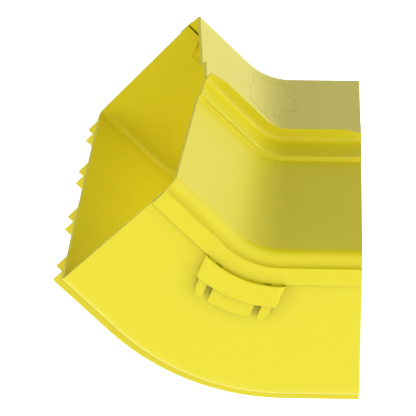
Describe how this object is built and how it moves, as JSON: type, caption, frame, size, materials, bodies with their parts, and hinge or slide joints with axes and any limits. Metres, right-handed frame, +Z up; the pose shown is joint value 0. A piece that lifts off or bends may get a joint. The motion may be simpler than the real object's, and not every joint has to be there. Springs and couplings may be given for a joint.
{
  "type": "fibre raceway elbow",
  "caption": "Inside-vertical elbow for a wide fibre raceway: a channel that bends upwards, with leaning walls and rails underneath, closed by a split cover that lifts off.",
  "frame": {"origin": "middle of the floor's end edge at the level leg's mouth", "axes": "+X out of the level leg's mouth, +Y across the duct to the far wall, +Z up"},
  "size_m": [0.1914, 0.3176, 0.173],
  "materials": {
    "yellow_plastic": "satin moulded yellow plastic, fine even texture"
  },
  "bodies": {
    "channel": {"channel_base": "yellow_plastic"},
    "near_half": {"near_cover": "yellow_plastic"},
    "far_half": {"far_cover": "yellow_plastic"}
  },
  "joints": [
    {"name": "near_cover_lift", "type": "slide", "parent": "channel", "child": "near_half", "axis": [0.3827, 0, 0.9239], "range_m": [0, 0.06]},
    {"name": "far_cover_lift", "type": "slide", "parent": "channel", "child": "far_half", "axis": [0.3827, 0, 0.9239], "range_m": [0, 0.06]}
  ]
}
